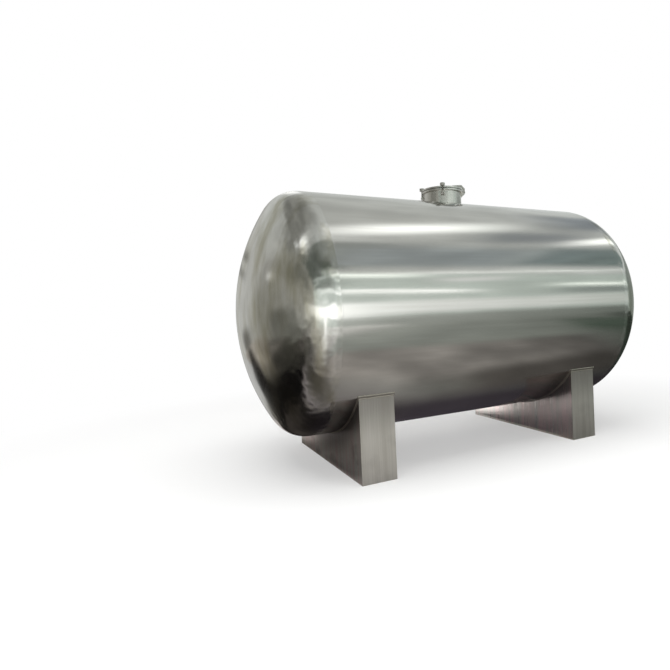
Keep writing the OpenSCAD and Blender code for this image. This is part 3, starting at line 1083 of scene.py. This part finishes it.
class TANK_OT_seams(bpy.types.Operator):
    """The girth seams between heads and courses, and the long seam of each course"""

    bl_idname = "tank.seams"
    bl_label = "Shell seams"

    def execute(self, context):
        shape = context.scene.tank_shape
        material = dressed_seam(context.scene.tank_finish)
        half = shape.seam_width / 2
        # A dressed girth seam crowns up to the plate's own radius and no further
        crown = [
            (TANK_R - shape.seam_dip * (step / SEAM_STEPS) ** 2, half * step / SEAM_STEPS)
            for step in range(-SEAM_STEPS, SEAM_STEPS + 1)
        ]
        root = [(TANK_R - PLATE_T / 2, half), (TANK_R - PLATE_T / 2, -half)]
        seams = [ends(node)[0] for node in COURSES] + [SEAM_X]
        for number, at in enumerate(seams, 1):
            seam = lathe(f"girth_seam_{number}", crown + root, AXIS + X * at, X, Z,
                         shape.ring_steps)
            finish_piece(seam, material, "shell_plate")
        # The long seams lie on the upper back, turned from course to course
        for node, turn in zip(COURSES, LONG_SEAM_TURNS):
            out = Z * math.cos(turn) + Y * math.sin(turn)
            at = AXIS + out * (TANK_R + LONG_SEAM_PROUD - shape.weld_leg)
            left, right = ends(node)
            steps = round((right - left) / shape.weld_pitch)
            route = straight_route(at + X * (left + half), at + X * (right - half), steps)
            seam = bead(node + "_long_seam", [route], shape.weld_leg)
            finish_piece(seam, material, "shell_plate")
        return {"FINISHED"}


# ---------- manway ----------

def cut_bolt_slots(piece, low, high):
    """Cuts the open slots that the swing bolts drop into."""
    for angle in CLAMPS.values():
        out = X * math.cos(angle) + Y * math.sin(angle)
        at = MANWAY + out * BOLT_AT
        carve(piece, rod("slot_end", at + Z * low, at + Z * high, SLOT_R, SMALL_SIDES))
        mouth = box("slot_mouth", Vector((0, -SLOT_R, low)), Vector((FLANGE_REACH, SLOT_R, high)))
        carve(piece, seat_on_manway(mouth, angle, BOLT_AT))


def manway_ring(name, inner, outer, low, high):
    """A flat ring on the manway's axis."""
    outline = [(inner, low), (outer, low), (outer, high), (inner, high)]
    return lathe(name, outline, MANWAY, Z, X, MANWAY_STEPS)


class TANK_OT_manway(bpy.types.Operator):
    """The manway's neck, its flange and the welds that hold them"""

    bl_idname = "tank.manway"
    bl_label = "Manway neck"

    def execute(self, context):
        shape = context.scene.tank_shape
        finish = context.scene.tank_finish
        material = polished_manway_steel(finish)
        neck = manway_ring("neck_tube", NECK_R - NECK_T, NECK_R, NECK_FOOT, NECK_TOP)
        ease_edges(neck, shape.edge_round)
        finish_piece(neck, material, "manway_steel", "manway_neck")

        flange = manway_ring("neck_flange", NECK_R, FLANGE_R, FLANGE_FOOT, NECK_TOP)
        cut_bolt_slots(flange, FLANGE_FOOT - SLOT_R, NECK_TOP + SLOT_R)
        ease_edges(flange, shape.edge_round)
        finish_piece(flange, material, "manway_steel", "manway_flange")

        # The foot weld follows the neck round, up and down over the shell
        steps = round(2 * math.pi * NECK_R / shape.weld_pitch)
        foot = []
        for step in range(steps):
            turn = 2 * math.pi * step / steps
            across = NECK_R * math.sin(turn)
            rise = AXIS.z + math.sqrt(TANK_R ** 2 - across ** 2)
            foot.append(MANWAY + Vector((NECK_R * math.cos(turn), across, rise)))
        weld = bead("neck_foot_weld", [draw_line("route", foot, closed=True)], shape.weld_leg)
        metal = weld_metal(finish)
        finish_piece(weld, metal, "manway_steel")
        start = MANWAY + X * NECK_R + Z * FLANGE_FOOT
        under = round_route(start, MANWAY, Z, 2 * math.pi, steps)
        weld = bead("neck_flange_weld", [under], shape.weld_leg * SMALL_WELD)
        finish_piece(weld, metal, "manway_steel")
        return {"FINISHED"}


def dish_arc(inset, start, end, steps):
    """Points along the lid's dish, which is a cap of a sphere, between two radii."""
    seat = NECK_R - DISH_INSET
    rise = LID_TOP - RIM_Z
    radius = (seat ** 2 + rise ** 2) / (2 * rise)
    shell = radius - inset
    return arc((0, LID_TOP - radius), shell, math.asin(start / shell), math.asin(end / shell), steps)


class TANK_OT_lid(bpy.types.Operator):
    """The dished lid, its weld and the gasket under it"""

    bl_idname = "tank.lid"
    bl_label = "Lid"

    def execute(self, context):
        shape = context.scene.tank_shape
        finish = context.scene.tank_finish
        seat = NECK_R - DISH_INSET
        outline = dish_arc(0, 0, seat, DISH_STEPS)
        outline += [(FLANGE_R, RIM_Z), (FLANGE_R, LID_Z), (seat - DISH_T, LID_Z)]
        outline += dish_arc(DISH_T, 0, seat - DISH_T, DISH_STEPS)[::-1]
        lid = lathe("lid_plate", outline, MANWAY, Z, X, MANWAY_STEPS)
        cut_bolt_slots(lid, LID_Z - SLOT_R, RIM_Z + SLOT_R)
        ease_edges(lid, shape.edge_round)
        finish_piece(lid, polished_manway_steel(finish), "manway_steel", "manway_lid")

        steps = round(2 * math.pi * seat / shape.weld_pitch)
        route = round_route(MANWAY + X * seat + Z * RIM_Z, MANWAY, Z, 2 * math.pi, steps)
        weld = bead("lid_weld", [route], shape.weld_leg * SMALL_WELD)
        finish_piece(weld, weld_metal(finish), "manway_steel")

        # The bolts squeeze the rubber so that its outer edge bulges
        half = (LID_Z - NECK_TOP) / 2
        middle_of_bulge = (NECK_R + GASKET_REACH - half / 2, NECK_TOP + half)
        bulge = arc(middle_of_bulge, half, 0, math.pi, END_STEPS // 2)
        outline = [(NECK_R - NECK_T, NECK_TOP), (NECK_R - NECK_T, LID_Z)] + bulge
        gasket = lathe("gasket_ring", outline, MANWAY, Z, X, MANWAY_STEPS)
        finish_piece(gasket, moulded_rubber(finish), "gasket_rubber", "manway_gasket")
        return {"FINISHED"}


def cross_pin(name, distance, height, radius, grip):
    """A pin across the radial plane, with an eased flat head at each end."""
    head = radius + PIN_HEAD_REACH
    end = grip / 2 + PIN_HEAD_T
    ease = PIN_HEAD_T / 3
    half = [(0, end), (head - ease, end), (head, end - ease), (head, grip / 2), (radius, grip / 2)]
    outline = half + [(across, -along) for across, along in reversed(half)]
    return lathe(name, outline, X * distance + Z * height, Y, Z, SMALL_SIDES)


def plate_pair(name, outline, thickness, gap, hole, radius):
    """Two like plates on each side of the radial plane, bored for a pin."""
    pair = []
    for side in (-1, 1):
        plate = cut_plate("side", outline, thickness, side * (gap + thickness) / 2)
        start = X * hole[0] + Z * hole[1]
        end = start + Y * side * (gap + 2 * thickness)
        carve(plate, rod("bore", start, end, radius, SMALL_SIDES))
        pair.append(plate)
    return join(name, pair)


def root_beads(name, gap, thickness, low, high, shape):
    """Fillet welds down the outside of a pair of plates, where they stand on the neck."""
    across = gap / 2 + thickness
    out = math.sqrt(NECK_R ** 2 - across ** 2)
    steps = round((high - low) / shape.weld_pitch)
    routes = []
    for side in (-1, 1):
        foot = X * out + Y * side * across
        routes.append(straight_route(foot + Z * low, foot + Z * high, steps))
    return bead(name, routes, shape.weld_leg * SMALL_WELD)


class TANK_OT_hinge(bpy.types.Operator):
    """The lid's hinge: two ears on the neck, the arm over the lid and the pin"""

    bl_idname = "tank.hinge"
    bl_label = "Hinge"

    def execute(self, context):
        shape = context.scene.tank_shape
        finish = context.scene.tank_finish
        material = turned_fitting_steel(finish)
        quarter = math.pi / 2
        root = NECK_R - NECK_T / 2
        ear = [(root, NECK_TOP - EAR_DROP), (root, FLANGE_FOOT), (HINGE_AT - EAR_R, FLANGE_FOOT)]
        ear += arc((HINGE_AT, HINGE_Z), EAR_R, -quarter, quarter, END_STEPS)
        ear += [(HINGE_AT + EAR_R, HINGE_Z - EAR_R)]
        bracket = plate_pair("hinge_ears", ear, EAR_T, ARM_EYE_W, (HINGE_AT, HINGE_Z), HINGE_PIN_R)
        ease_edges(bracket, shape.edge_round)
        seat_on_manway(bracket, HINGE_BEARING)
        finish_piece(bracket, material, "fitting_steel", "hinge_bracket")

        # The rib lies on the lid's dish, runs out over its flange and drops to the pin
        leg = ARM_EYE_R - ARM_EASE
        rib = dish_arc(ARM_EASE, ARM_END, NECK_R - DISH_INSET, DISH_STEPS // 2)
        rib += [(HINGE_AT - leg, RIM_Z), (HINGE_AT - leg, HINGE_Z), (HINGE_AT + leg, HINGE_Z)]
        rib += [(HINGE_AT + leg, RIM_Z + ARM_HEEL), (ARM_SHOULDER, ARM_TOP)]
        rib += [(ARM_END + ARM_NOSE, ARM_TOP), (ARM_END, ARM_TOP - ARM_NOSE)]
        arm = cut_plate("hinge_rib", rib, ARM_RIB_W)
        at = X * HINGE_AT + Z * HINGE_Z
        half = Y * ARM_EYE_W / 2
        carve(arm, rod("eye", at - half, at + half, ARM_EYE_R, LARGE_SIDES), "UNION")
        carve(arm, rod("bore", at - 2 * half, at + 2 * half, HINGE_PIN_R, LARGE_SIDES))
        ease_edges(arm, shape.edge_round)
        seat_on_manway(arm, HINGE_BEARING)
        finish_piece(arm, material, "fitting_steel", "hinge_arm")

        pin = cross_pin("hinge_pivot", HINGE_AT, HINGE_Z, HINGE_PIN_R, ARM_EYE_W + 2 * EAR_T)
        seat_on_manway(pin, HINGE_BEARING)
        finish_piece(pin, material, "fitting_steel", "hinge_pin")

        weld = root_beads("hinge_welds", ARM_EYE_W, EAR_T, NECK_TOP - EAR_DROP, FLANGE_FOOT, shape)
        seat_on_manway(weld, HINGE_BEARING)
        finish_piece(weld, weld_metal(finish), "fitting_steel")
        return {"FINISHED"}


def cut_thread(name, radius, low, turns, pitch):
    """A threaded stretch of bolt: one pitch of its profile, screwed upwards."""
    root = radius - THREAD_DEPTH * pitch
    # Up one flank, along the crest and down the other flank, in shares of the pitch
    profile = [(root, 0), (radius, 0.4), (radius, 0.55), (root, 0.95), (root, 1)]
    piece = draw_line(name, [Vector((out, 0, low + rise * pitch)) for out, rise in profile])
    apply(piece, "SCREW", axis="Z", angle=2 * math.pi, screw_offset=pitch, iterations=turns,
          steps=BOLT_SIDES, render_steps=BOLT_SIDES, use_merge_vertices=True,
          merge_threshold=MERGE)
    close_up(piece)
    return piece


def swing_bolt(shape):
    """A swing bolt about its own upright axis: the eye, the plain shank and the thread."""
    half = EYE_W / 2
    ease = shape.edge_round
    eye = lathe("swing_bolt", [
        (CLAMP_PIN_R, -half), (EYE_R - ease, -half), (EYE_R, ease - half),
        (EYE_R, half - ease), (EYE_R - ease, half), (CLAMP_PIN_R, half)],
        Z * EYE_Z, Y, Z, LARGE_SIDES)
    shank_low = EYE_Z + (CLAMP_PIN_R + EYE_R) / 2 - SHANK_SINK
    thread_low = EYE_Z + LUG_ROOT
    turns = math.floor((BOLT_TOP - 2 * ease - thread_low) / shape.thread_pitch)
    shank = lathe("shank", [
        (0, shank_low), (BOLT_R, shank_low), (BOLT_R, thread_low + ease),
        (BOLT_R - ease, thread_low + 2 * ease), (0, thread_low + 2 * ease)],
        Vector(), Z, X, BOLT_SIDES)
    thread = cut_thread("thread", BOLT_R, thread_low, turns, shape.thread_pitch)
    tip_low = BOLT_TOP - 3 * ease
    tip = lathe("tip", [
        (0, tip_low), (BOLT_R, tip_low), (BOLT_R - ease, BOLT_TOP), (0, BOLT_TOP)],
        Vector(), Z, X, BOLT_SIDES)
    return join("swing_bolt", [eye, shank, thread, tip])


def hand_nut(shape):
    """A lobed hand nut and its washer, about their own upright axis."""
    foot = RIM_Z + WASHER_T
    top = BOLT_TOP - BOLT_STUB
    nut = rod("hand_nut", Z * foot, Z * top, KNOB_R, KNOB_SIDES)
    for hollow in range(KNOB_LOBES):
        turn = 2 * math.pi * hollow / KNOB_LOBES
        at = Vector((math.cos(turn), math.sin(turn), 0)) * (KNOB_R + LOBE_CUT_R / 2)
        start, end = at + Z * (foot - WASHER_T), at + Z * (top + WASHER_T)
        carve(nut, rod("hollow", start, end, LOBE_CUT_R, SMALL_SIDES))
    ease_edges(nut, shape.edge_round, 3)
    washer = rod("washer", Z * RIM_Z, Z * foot, WASHER_R, LARGE_SIDES)
    ease_edges(washer, shape.edge_round / 2)
    for part in (nut, washer):
        carve(part, rod("bore", Z * LID_Z, Z * (BOLT_TOP + WASHER_T), BOLT_R, LARGE_SIDES))
    return join("hand_nut", [nut, washer])


class TANK_OT_clamps(bpy.types.Operator):
    """The swing bolt clamps: lugs, pins, bolts and hand nuts"""

    bl_idname = "tank.clamps"
    bl_label = "Clamps"

    def execute(self, context):
        shape = context.scene.tank_shape
        finish = context.scene.tank_finish
        turned = turned_fitting_steel(finish)
        cast = cast_nut_steel(finish)
        metal = weld_metal(finish)
        root = NECK_R - NECK_T / 2
        outline = [(root, EYE_Z + LUG_ROOT)]
        outline += arc((BOLT_AT, EYE_Z), LUG_R, 0, math.pi, END_STEPS)
        outline += [(root, EYE_Z - LUG_ROOT)]
        lug = plate_pair("lug", outline, LUG_T, LUG_GAP, (BOLT_AT, EYE_Z), CLAMP_PIN_R)
        ease_edges(lug, shape.edge_round)
        pin = cross_pin("pin", BOLT_AT, EYE_Z, CLAMP_PIN_R, LUG_GAP + 2 * LUG_T)
        weld = root_beads("weld", LUG_GAP, LUG_T, EYE_Z - LUG_ROOT, EYE_Z + LUG_ROOT, shape)
        bolt = swing_bolt(shape)
        nut = hand_nut(shape)
        patterns = (
            (lug, "clamp_cheeks", turned, 0.0, "clamp_lug"),
            (pin, "clamp_pivot", turned, 0.0, "clamp_pin"),
            (bolt, "swing_bolt", turned, BOLT_AT, "clamp_bolt"),
            (nut, "hand_nut", cast, BOLT_AT, "clamp_nut"),
            (weld, "clamp_welds", metal, 0.0, None),
        )
        for number, angle in CLAMPS.items():
            for pattern, name, material, distance, node in patterns:
                piece = seat_on_manway(copy_of(pattern, f"{name}_{number}"), angle, distance)
                nodes = [f"{node}_{number}"] if node else []
                finish_piece(piece, material, "fitting_steel", *nodes)
        for pattern, *_ in patterns:
            bpy.data.objects.remove(pattern)
        return {"FINISHED"}


# ---------- saddles ----------

class TANK_OT_saddles(bpy.types.Operator):
    """The pads, webs, end plates and bases of the two saddles"""

    bl_idname = "tank.saddles"
    bl_label = "Saddles"

    def execute(self, context):
        shape = context.scene.tank_shape
        finish = context.scene.tank_finish
        satin = satin_pad_plate(finish)
        # Every saddle plate is painted darker just under the shell, as shade where the tank overhangs
        # it
        plain = brushed_saddle_plate(
            "brushed_304_saddle_plate", finish, "#C4C0B9",
            roughness=0.5, bare=1.0, dirt=0.15, shell_shade=0.55)
        # The left web is made darker than the right one, with more dirt, more scale, darker runs and
        # more shade painted under the shell
        webs = {
            "left": brushed_saddle_plate(
                "darker_304_web", finish, "#CFBEBB",
                roughness=0.42, bare=0.93, dirt=0.6, shell_shade=0.95),
            "right": brushed_saddle_plate(
                "lighter_304_web", finish, "#E2D0CD",
                roughness=0.32, bare=0.97, dirt=0.1, shell_shade=0.75),
        }
        start = Vector((0, math.sin(PAD_HALF_ANGLE), -math.cos(PAD_HALF_ANGLE)))
        for side in SADDLES:
            pad_node = f"{side}_saddle_pad"
            left, right = ends(pad_node)
            outline = [(TANK_R, left), (TANK_R, right),
                       (TANK_R + PAD_T, right), (TANK_R + PAD_T, left)]
            pad = lathe(f"{side}_pad_plate", outline, AXIS, X, start, shape.ring_steps // 3,
                        2 * PAD_HALF_ANGLE)
            ease_edges(pad, shape.edge_round)
            finish_piece(pad, satin, "saddle_pad_plate", pad_node)
            centre = AXIS + X * (left + right) / 2
            width = X * (right - left)
            for part in ("outer_web", "inner_web", "front_end", "back_end", "base"):
                node = f"{side}_saddle_{part}"
                plate = box(node + "_plate", *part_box(node))
                if part != "base":
                    carve(plate, rod("pad_space", centre - width, centre + width,
                                     TANK_R + PAD_T, shape.ring_steps))
                ease_edges(plate, shape.edge_round)
                material = webs[side] if part.endswith("web") else plain
                finish_piece(plate, material, "saddle_plate", node)
        return {"FINISHED"}


def under_tank(radius, turn, at):
    """A point under the tank at one X, turned from the lowest line towards the back."""
    return AXIS + X * at + radius * Vector((0, math.sin(turn), -math.cos(turn)))


def bottom_arc(radius, half_angle, at, shape):
    """A route round the underside of the tank at one X."""
    steps = round(2 * half_angle * radius / shape.weld_pitch)
    return round_route(under_tank(radius, half_angle, at), AXIS, X, 2 * half_angle, steps)


class TANK_OT_saddle_welds(bpy.types.Operator):
    """The fillet welds round the pads and along the tops of the saddle plates"""

    bl_idname = "tank.saddle_welds"
    bl_label = "Saddle welds"

    def execute(self, context):
        shape = context.scene.tank_shape
        material = weld_metal(context.scene.tank_finish)
        for side in SADDLES:
            pad = ends(f"{side}_saddle_pad")
            end_plate = f"{side}_saddle_front_end"
            # The webs stop short of the pad's ends, where the end plates close the box
            under_pad = TANK_R + PAD_T
            web_angle = math.asin(-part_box(end_plate)[0].y / under_pad)
            routes = [bottom_arc(TANK_R, PAD_HALF_ANGLE, at, shape) for at in pad]
            for web in ("outer_web", "inner_web"):
                faces = ends(f"{side}_saddle_{web}")
                outer = max(faces, key=lambda face: abs(face - sum(pad) / 2))
                routes.append(bottom_arc(under_pad, web_angle, outer, shape))
            crossings = ((TANK_R, PAD_HALF_ANGLE, *pad), (under_pad, web_angle, *ends(end_plate)))
            for radius, angle, left, right in crossings:
                steps = round((right - left) / shape.weld_pitch)
                for turn in (-angle, angle):
                    routes.append(straight_route(
                        under_tank(radius, turn, left), under_tank(radius, turn, right), steps))
            weld = bead(f"{side}_saddle_welds", routes, shape.weld_leg)
            finish_piece(weld, material, "saddle_pad_plate")
        return {"FINISHED"}


OPERATORS = (
    TANK_OT_stage, TANK_OT_shell, TANK_OT_heads, TANK_OT_seams, TANK_OT_manway, TANK_OT_lid,
    TANK_OT_hinge, TANK_OT_clamps, TANK_OT_saddles, TANK_OT_saddle_welds,
)


class TANK_PT_panel(bpy.types.Panel):
    """Settings of the tank and a button for each group of its pieces"""

    bl_idname = "TANK_PT_panel"
    bl_label = "Storage Tank"
    bl_space_type = "VIEW_3D"
    bl_region_type = "UI"
    bl_category = "Tank"

    def draw(self, context):
        for group in (context.scene.tank_shape, context.scene.tank_finish,
                      context.scene.tank_stage):
            column = self.layout.box().column()
            for setting in group.__annotations__:
                column.prop(group, setting)
        for operator in OPERATORS:
            self.layout.operator(operator.bl_idname)


CLASSES = (TankShape, TankFinish, TankStage, *OPERATORS, TANK_PT_panel)


def register():
    for cls in CLASSES:
        bpy.utils.register_class(cls)
    bpy.types.Scene.tank_shape = bpy.props.PointerProperty(type=TankShape)
    bpy.types.Scene.tank_finish = bpy.props.PointerProperty(type=TankFinish)
    bpy.types.Scene.tank_stage = bpy.props.PointerProperty(type=TankStage)


def unregister():
    del bpy.types.Scene.tank_stage
    del bpy.types.Scene.tank_finish
    del bpy.types.Scene.tank_shape
    for cls in reversed(CLASSES):
        bpy.utils.unregister_class(cls)


def main():
    register()
    bpy.ops.tank.stage()
    bpy.ops.tank.shell()
    bpy.ops.tank.heads()
    bpy.ops.tank.seams()
    bpy.ops.tank.manway()
    bpy.ops.tank.lid()
    bpy.ops.tank.hinge()
    bpy.ops.tank.clamps()
    bpy.ops.tank.saddles()
    bpy.ops.tank.saddle_welds()


if __name__ == "__main__":
    main()
